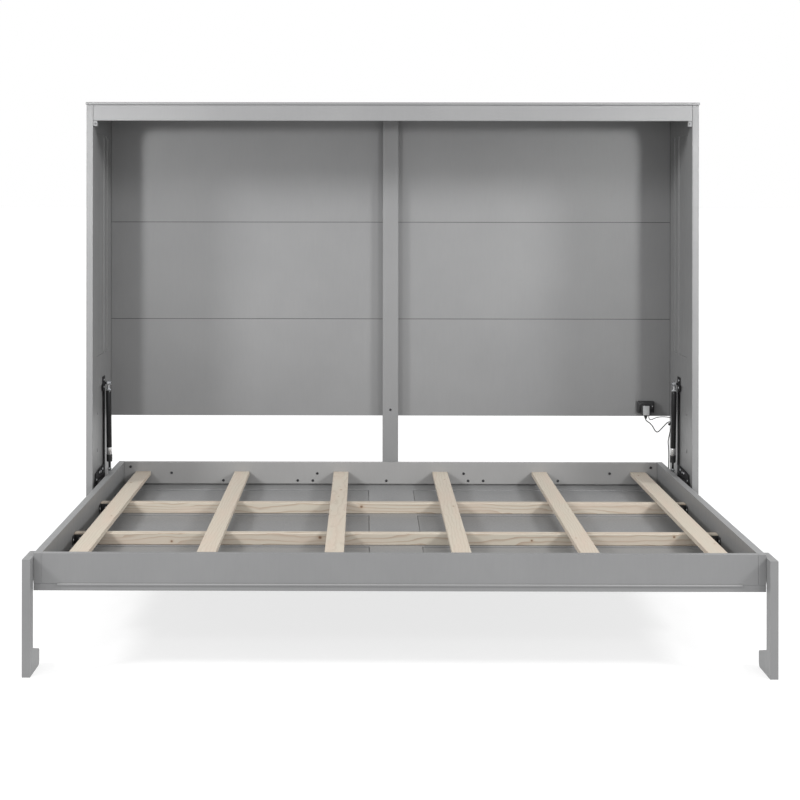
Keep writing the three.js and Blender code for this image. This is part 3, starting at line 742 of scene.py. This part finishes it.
def add_strut(side):
    """A strut's black tube, bright band, ribbed end cap and upper eye."""
    place = strut_place(side)
    tube_end = -STRUT["end"] + STRUT["cap"]
    band_top = tube_end + STRUT["band"]
    radius = STRUT["radius"]

    shape = bmesh.new()
    start = -STRUT["start"]
    profile = [(0, start), (0.0056, start), (0.0082, start - 0.0012), (0.0094, start - 0.0032)]
    profile += [(radius, start - 0.0060), (radius, band_top), (0, band_top)]
    add_turned(shape, profile, place, 48)
    piece(f"{side}_strut_tube", f"{side}_strut", GLOSS, shape, [f"{side}_strut_cylinder"])

    shape = bmesh.new()
    profile = [(0, band_top), (radius - 0.0004, band_top), (radius - 0.0001, band_top - 0.0008)]
    profile += [(radius - 0.0001, tube_end + 0.0008), (radius - 0.0004, tube_end), (0, tube_end)]
    add_turned(shape, profile, place, 48)
    piece(f"{side}_strut_band", f"{side}_strut", SATIN_BAND, shape)

    shape = bmesh.new()
    cap_end = -STRUT["end"]
    cap_radius = STRUT["cap_radius"]
    bore = STRUT["rod"] + 0.0009
    profile = [(0, tube_end), (radius, tube_end), (cap_radius - 0.0002, tube_end - 0.0010)]
    for rib in range(5):
        top = tube_end - 0.0040 - 0.0036 * rib
        profile += [(cap_radius, top), (cap_radius, top - 0.0022), (cap_radius - 0.0006, top - 0.0026),
                    (cap_radius - 0.0006, top - 0.0032)]
    profile += [(cap_radius, cap_end + 0.0032), (cap_radius - 0.0010, cap_end + 0.0008),
                (cap_radius - 0.0030, cap_end)]
    profile += [(bore, cap_end), (bore, cap_end + 0.002), (0, cap_end + 0.002)]
    add_turned(shape, profile, place, 48)
    piece(f"{side}_strut_end_cap", f"{side}_strut", BLACK_PLASTIC, shape)

    shape = bmesh.new()
    add_eye(shape, place, 0, 0.0094, 0.0116, 0.0045)
    neck = [(0, -0.0070), (0.0052, -0.0070), (0.0052, -0.0130), (0.0044, -0.0134), (0.0044, start - 0.001)]
    add_turned(shape, [*neck, (0, start - 0.001)], place, 28)
    add_hexagon_nut(shape, place @ Matrix.Translation((0, 0, start + 0.0004)), 0.0150, 0.0062, 0.0040)
    piece(f"{side}_strut_upper_eye", f"{side}_strut", ZINC, shape)


def add_strut_rod(side):
    """A strut's rod, with its piston inside the tube and its lower eye."""
    place = strut_place(side)
    stud = -STRUT["length"]
    piston = -STRUT["piston"]
    rod = STRUT["rod"]
    shape = bmesh.new()
    profile = [(0, piston), (rod + 0.002, piston), (rod + 0.002, piston - 0.006), (rod, piston - 0.008)]
    profile += [(rod, stud + 0.0185), (0, stud + 0.0185)]
    add_turned(shape, profile, place, 36)
    piece(f"{side}_strut_shaft", f"{side}_rod", ROD_STEEL, shape, [f"{side}_strut_rod"])

    shape = bmesh.new()
    add_eye(shape, place, stud, 0.0084, 0.0116, 0.0045)
    neck = [(0, stud + 0.0062), (0.0048, stud + 0.0062), (0.0042, stud + 0.0110), (0.0042, stud + 0.0190)]
    add_turned(shape, [*neck, (0, stud + 0.0190)], place, 28)
    add_hexagon_nut(shape, place @ Matrix.Translation((0, 0, stud + 0.0118)), 0.0130, 0.0056, 0.0038)
    piece(f"{side}_strut_lower_eye", f"{side}_rod", ZINC, shape)


# ---------------------------------------------------------------- lift mechanism

def add_strut_bracket(side, turn):
    """The black seat and stud for the strut's upper eye, with its washer, locking nut and screws."""
    low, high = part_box("right_strut_bracket")
    eye = Vector(JOINTS["right_strut_tilt"]["pos_m"])
    shape = bmesh.new()
    add_box(shape, (high.x - 0.0025, low.y, low.z), high, 0.0009, 2)
    along = facing((high.x, eye.y, eye.z), (-1, 0, 0))
    reach = high.x - low.x
    profile = [(0, 0.0010), (0.0085, 0.0010), (0.0085, 0.0040), (0.0060, 0.0050), (0.0040, 0.0052)]
    profile += [(0.0040, reach - 0.0005), (0.0034, reach), (0, reach)]
    add_turned(shape, profile, along, 32)
    piece(f"{side}_strut_seat", "cabinet", MATT_STEEL, shape,
          [f"{side}_strut_bracket"], turn)

    shape = bmesh.new()
    washer = [(0.0041, reach - 0.0048), (0.0080, reach - 0.0048), (0.0080, reach - 0.0038),
              (0.0041, reach - 0.0038)]
    add_ring(shape, washer, along, 32)
    add_hexagon_nut(shape, along @ Matrix.Translation((0, 0, reach - 0.0037)), 0.0130, 0.0032, 0.0041)
    for y, z in ((low.y + 0.0055, low.z + 0.0065), (low.y + 0.0055, high.z - 0.0065)):
        add_screw(shape, (high.x - 0.0026, y, z), (-1, 0, 0), 0.0036)
    piece(f"{side}_strut_seat_nut", "cabinet", ZINC, shape, turn=turn)


def add_bearing_cover(side, turn):
    """The ribbed cover over the bearing on the plate's foot."""
    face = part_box("right_mechanism_plate")[0].x
    shape = bmesh.new()
    low = (face - COVER["thickness"], CABINET_FRONT + COVER["front"], COVER["bottom"])
    high = (face, CABINET_FRONT + COVER["rear"], COVER["top"])
    add_box(shape, low, high, 0.0010, 2)
    for rib in range(7):
        start = low[1] + 0.018 + 0.024 * rib
        rib_low = (low[0] - 0.0006, start, low[2] + 0.006)
        rib_high = (face, start + 0.004, high[2] - 0.006)
        add_box(shape, rib_low, rib_high, 0.0003, 1)
    piece(f"{side}_mechanism_cover", "cabinet", MATT_STEEL, shape, turn=turn)


def add_mechanism_screws(side, turn):
    """Screws through the bearing cover, and rivets up the plate's upright and by the bearing."""
    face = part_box("right_mechanism_plate")[0].x
    shape = bmesh.new()
    for depth, z in COVER_SCREWS:
        point = (face - COVER["thickness"], CABINET_FRONT + depth, z)
        add_screw(shape, point, (-1, 0, 0), 0.0042)
    piece(f"{side}_mechanism_screws", "cabinet", ZINC, shape, turn=turn)

    shape = bmesh.new()
    for depth, z in PLATE_RIVETS:
        along = facing((face, CABINET_FRONT + depth, z), (-1, 0, 0))
        add_turned(shape, [(0, 0), (0.0052, 0), (0.0050, 0.0008), (0.0036, 0.0018), (0, 0.0022)], along, 24)
    piece(f"{side}_mechanism_rivets", "cabinet", POWDER, shape, turn=turn)


def add_pivot(side, turn):
    """The bed's pivot pin with its collar."""
    low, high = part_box("right_pivot_pin")
    middle = (low + high) / 2
    along = facing((high.x, middle.y, middle.z), (-1, 0, 0))
    reach = high.x - low.x
    collar_end = high.x - PIVOT_COLLAR_FACE_X
    shape = bmesh.new()
    profile = [(0, 0), (0.0118, 0), (0.0130, 0.0012), (0.0130, collar_end - 0.0052)]
    profile += [(0.0118, collar_end - 0.0042), (0.0092, collar_end - 0.0042), (0.0092, collar_end)]
    profile += [(0.0060, collar_end), (0.0060, reach - 0.0012), (0.0050, reach), (0, reach)]
    add_turned(shape, profile, along, 40)
    piece(f"{side}_pivot_shoulder", "cabinet", ROD_STEEL, shape,
          [f"{side}_pivot_pin"], turn)


def add_leg_bolt(side, turn):
    """A leg's shoulder bolt: a thin washer, a domed head and a hexagonal socket."""
    low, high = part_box("right_leg_bolt")
    middle = (low + high) / 2
    outwards = facing((low.x, middle.y, middle.z), (1, 0, 0))
    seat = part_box("right_leg")[1].x + LEG_BOLT_GAP - low.x
    shank = [(0, 0), (0.0030, 0), (0.0040, 0.001), (0.0040, seat + 0.0004), (0, seat + 0.0004)]
    washer = [(0, seat), (0.0089, seat), (0.0089, seat + 0.0008), (0, seat + 0.0008)]
    shape = bmesh.new()
    add_turned(shape, shank, outwards, 28)
    add_turned(shape, washer, outwards, 32)
    add_socket_bolt(shape, (low.x + seat + 0.0008, middle.y, middle.z), (1, 0, 0), 0.0056)
    piece(f"{side}_leg_shoulder_bolt", "bed", ZINC, shape,
          [f"{side}_leg_bolt"], turn)


def add_hinge_plate_bolts(side, turn):
    """The coach bolts' heads that fix the steel plate to the bed's side rail."""
    low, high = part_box("right_bed_hinge_plate")
    face = low.x + HINGE_PLATE_THICKNESS
    shape = bmesh.new()
    for y in (low.y + 0.014, low.y + 0.100, low.y + 0.150, high.y - 0.018):
        along = facing((face, y, HINGE_BOLT_HEIGHT), (1, 0, 0))
        add_turned(shape, [(0, 0), (0.0060, 0), (0.0056, 0.0012), (0.0036, 0.0026), (0, 0.0030)], along, 28)
    piece(f"{side}_hinge_plate_bolts", "bed", ZINC, shape, turn=turn)


def add_fascia_block(side, turn):
    """A small corner connector under the fascia: a rounded block with a countersunk screw in its front."""
    low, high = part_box("right_fascia_block")
    shape = bmesh.new()
    add_box(shape, low, high, 0.0016, 3)
    piece(f"{side}_corner_connector", "cabinet", PAINT, shape,
          [f"{side}_fascia_block"], turn)
    shape = bmesh.new()
    middle = (low + high) / 2
    add_screw(shape, (middle.x, low.y - 0.0002, middle.z), (0, -1, 0), 0.0034)
    piece(f"{side}_corner_connector_screw", "cabinet", ROD_STEEL, shape, turn=turn)


# ---------------------------------------------------------------- painted highlight strip, screws, caps and painted shade strips

def add_edge_painted_highlight():
    """A rounded strip along the top of the facade's front edge, in lighter paint: a painted highlight of the
    lit edge.
    """
    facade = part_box("facade_frame")
    half = EDGE_HIGHLIGHT_STRIP["half_length"]
    front = BED_FRONT - EDGE_HIGHLIGHT_STRIP["reach"]
    low = (-half, front, facade[1].z - EDGE_HIGHLIGHT_STRIP["below"])
    high = (half, BED_FRONT - 0.0001, facade[1].z + EDGE_HIGHLIGHT_STRIP["above"])
    shape = bmesh.new()
    add_box(shape, low, high, 0.0012, 3)
    piece("facade_edge_painted_highlight", "bed", EDGE_HIGHLIGHT_PAINT, shape)


def add_rail_screws():
    """Dark countersunk screws in the rear rail's inner face and one in the post."""
    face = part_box("rear_rail")[0].y
    shape = bmesh.new()
    for x, z in RAIL_SCREWS:
        add_screw(shape, (x, face, z), (0, -1, 0), 0.0050)
    piece("rear_rail_screws", "bed", ROD_STEEL, shape)
    shape = bmesh.new()
    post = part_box("centre_post")[0].y
    add_screw(shape, (0, post, POST_SCREW_HEIGHT), (0, -1, 0), 0.0046)
    piece("centre_post_screw", "cabinet", ROD_STEEL, shape)


def add_panel_caps(side, turn):
    """Low domed caps over the screws in the side panels' inner faces."""
    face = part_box("right_side_panel")[0].x
    shape = bmesh.new()
    for depth, z, radius in PANEL_CAPS:
        along = facing((face, CABINET_FRONT + depth, z), (-1, 0, 0))
        profile = [(0, 0), (radius, 0), (radius * 0.97, 0.0006), (radius * 0.80, 0.0013),
                   (radius * 0.45, 0.0018), (0, 0.0020)]
        add_turned(shape, profile, along, 32)
    piece(f"{side}_panel_caps", "cabinet", PAINT, shape, turn=turn)


def add_back_joint_shade(side, turn):
    """Dark strips low in the grooves between the back boards: painted shade of the grooves."""
    half = JOINT_SHADE_STRIP["half_height"]
    shape = bmesh.new()
    for lower, upper in (("lower", "middle"), ("middle", "upper")):
        low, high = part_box(f"right_{lower}_back_board")
        middle = (high.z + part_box(f"right_{upper}_back_board")[0].z) / 2
        strip_low = (low.x + 0.001, low.y + JOINT_SHADE_STRIP["front"], middle - half)
        strip_high = (high.x - 0.001, low.y + JOINT_SHADE_STRIP["rear"], middle + half)
        add_box(shape, strip_low, strip_high, 0.0002, 1)
    # Black plastic here is painted shade in the grooves.
    piece(f"{side}_back_joint_painted_shade", "cabinet", BLACK_PLASTIC, shape, turn=turn)


def add_beam_brackets(side, turn):
    """Folded black angles under bolts, where each pine beam meets the side rail."""
    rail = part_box("right_side_rail")[0].x
    steel = bmesh.new()
    bolts = bmesh.new()
    for node in ("front_beam", "rear_beam"):
        low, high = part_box(node)
        middle_z = (low.z + high.z) / 2
        foot, head = low.z + 0.004, high.z - 0.004
        add_box(steel, (rail - 0.034, low.y - 0.0018, foot), (rail - 0.0002, low.y, head), 0.0006, 2)
        add_box(steel, (rail - 0.0018, low.y - 0.030, foot), (rail, low.y, head), 0.0006, 2)
        add_screw(bolts, (rail - 0.020, low.y - 0.0018, middle_z), (0, -1, 0), 0.0044)
        add_screw(bolts, (rail - 0.0018, low.y - 0.018, middle_z), (-1, 0, 0), 0.0044)
    piece(f"{side}_beam_angles", "bed", POWDER, steel, turn=turn)
    piece(f"{side}_beam_angle_screws", "bed", ZINC, bolts, turn=turn)


# ---------------------------------------------------------------- outlet, adaptor and hook

def add_outlet():
    """A power block: a rounded housing, a raised face and a small charging port with its light."""
    low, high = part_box("outlet_box")
    shape = bmesh.new()
    add_box(shape, (low.x, low.y + 0.0022, low.z), high, 0.0040, 4)
    face_low = (low.x + 0.0030, low.y, low.z + 0.0030)
    face_high = (high.x - 0.0030, low.y + 0.0050, high.z - 0.0030)
    add_box(shape, face_low, face_high, 0.0014, 3)
    piece("outlet_housing", "cabinet", BLACK_PLASTIC, shape, ["outlet_box"])

    shape = bmesh.new()
    port_x = high.x - 0.0080
    port_z = (low.z + high.z) / 2 + 0.0010
    port_low = (port_x - 0.0035, low.y - 0.0002, port_z - 0.0070)
    port_high = (port_x + 0.0035, low.y + 0.002, port_z + 0.0070)
    add_box(shape, port_low, port_high, 0.0008, 2)
    piece("outlet_port_frame", "cabinet", ROD_STEEL, shape)
    shape = bmesh.new()
    along = facing((port_x, low.y - 0.0002, port_z + 0.0030), (0, -1, 0))
    add_turned(shape, [(0, 0), (0.0022, 0), (0.0020, 0.0006), (0, 0.0008)], along, 20)
    piece("outlet_port_light", "cabinet", GREY_PLASTIC, shape)


def add_adaptor():
    """The plugged-in adaptor: a rounded black body, a light face and a ribbed boot where the cord leaves."""
    low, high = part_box("adaptor")
    boot_top = low.z + 0.014
    middle_x = (low.x + high.x) / 2
    middle_y = (low.y + high.y) / 2
    shape = bmesh.new()
    add_box(shape, (low.x, low.y + 0.0008, boot_top), high, 0.0036, 4)
    profile = [(0, 0), (0.0028, 0)]
    for rib in range(3):
        start = 0.0010 + rib * 0.0038
        reach = 0.0034 + rib * 0.0014
        profile += [(reach, start), (reach + 0.0008, start + 0.0006), (reach + 0.0010, start + 0.0022),
                    (reach + 0.0002, start + 0.0026)]
    profile += [(0.0078, 0.0130), (0.0078, 0.0155), (0, 0.0155)]
    add_turned(shape, profile, Matrix.Translation((middle_x, middle_y, low.z)), 28)
    piece("adaptor_body", "cabinet", BLACK_PLASTIC, shape, ["adaptor"])

    shape = bmesh.new()
    face_low = (low.x + 0.0052, low.y, boot_top + 0.0012)
    face_high = (high.x - 0.0052, low.y + 0.0030, high.z - 0.0030)
    add_box(shape, face_low, face_high, 0.0009, 3)
    piece("adaptor_face", "cabinet", GREY_PLASTIC, shape)


def add_hook():
    """A flared peg for the cord, on an arm and a screwed foot on the right-hand side panel."""
    low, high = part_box("cord_hook")
    height = (low.z + high.z) / 2
    radius = HOOK_PEG["radius"]
    length = HOOK_PEG["length"]
    centre = low.x + radius
    shape = bmesh.new()
    along = facing((centre, low.y + length, height), (0, -1, 0))
    profile = [(0, 0), (radius, 0), (radius, length - 0.0022), (radius - 0.0008, length - 0.0016)]
    profile += [(radius, length - 0.0008), (radius, length - 0.0003), (radius - 0.0006, length), (0, length)]
    add_turned(shape, profile, along, 28)
    arm_front = low.y + length - 0.0010
    arm_rear = arm_front + 0.0032
    add_box(shape, (centre - 0.002, arm_front, height - 0.004), (high.x, arm_rear, height + 0.004), 0.0008, 2)
    add_box(shape, (high.x - 0.0022, arm_front, low.z), high, 0.0008, 2)
    piece("cord_peg", "cabinet", BLACK_PLASTIC, shape, ["cord_hook"])
    shape = bmesh.new()
    add_screw(shape, (high.x - 0.0022, arm_rear + 0.0055, height), (-1, 0, 0), 0.0028)
    piece("cord_peg_screw", "cabinet", ZINC, shape)


# What takes a turn is drawn on the right, and a turn of -1 mirrors it to the left.
for side, turn in SIDES:
    edged(f"{side}_mechanism_plate", BEVELS["steel_plate"], MATT_STEEL, 2)
    edged(f"{side}_bed_hinge_plate", BEVELS["steel_plate"], POWDER, 2)
    add_strut(side)
    add_strut_rod(side)
    add_strut_bracket(side, turn)
    add_bearing_cover(side, turn)
    add_mechanism_screws(side, turn)
    add_pivot(side, turn)
    add_leg_bolt(side, turn)
    add_hinge_plate_bolts(side, turn)
    add_fascia_block(side, turn)
    add_panel_caps(side, turn)
    add_back_joint_shade(side, turn)
    add_beam_brackets(side, turn)
add_rail_screws()
add_edge_painted_highlight()
add_outlet()
add_adaptor()
add_hook()

# ---------------------------------------------------------------- floor and light

def add_floor():
    """A floor so wide that its edge is out of sight."""
    shape = bmesh.new()
    bmesh.ops.create_grid(shape, x_segments=1, y_segments=1, size=FLOOR_REACH)
    mesh = bpy.data.meshes.new("floor")
    shape.to_mesh(mesh)
    shape.free()
    mesh.materials.append(studio_floor())
    floor = bpy.data.objects.new("floor", mesh)
    bpy.context.scene.collection.objects.link(floor)


def add_lamp(name, place, target, size, power, spread):
    """A round soft lamp that faces its target."""
    lamp = bpy.data.lights.new(name, "AREA")
    lamp.shape = "DISK"
    lamp.size = size
    lamp.energy = power
    lamp.spread = math.radians(spread)
    holder = bpy.data.objects.new(name, lamp)
    holder.location = place
    holder.rotation_euler = (target - place).to_track_quat("-Z", "Y").to_euler()
    bpy.context.scene.collection.objects.link(holder)


def add_world():
    """White light from all round."""
    world = bpy.data.worlds.new("studio")
    world.use_nodes = True
    background = world.node_tree.nodes["Background"]
    background.inputs["Color"].default_value = (1, 1, 1, 1)
    background.inputs["Strength"].default_value = WORLD_STRENGTH
    bpy.context.scene.world = world


bpy.context.scene.view_settings.view_transform = "Standard"
add_floor()
add_world()
for side, turn in SIDES:
    mirror = Vector((turn, 1, 1))
    for name, (place, target, *settings) in LAMPS.items():
        add_lamp(f"{name}_{side}", mirror * Vector(place), mirror * Vector(target), *settings)
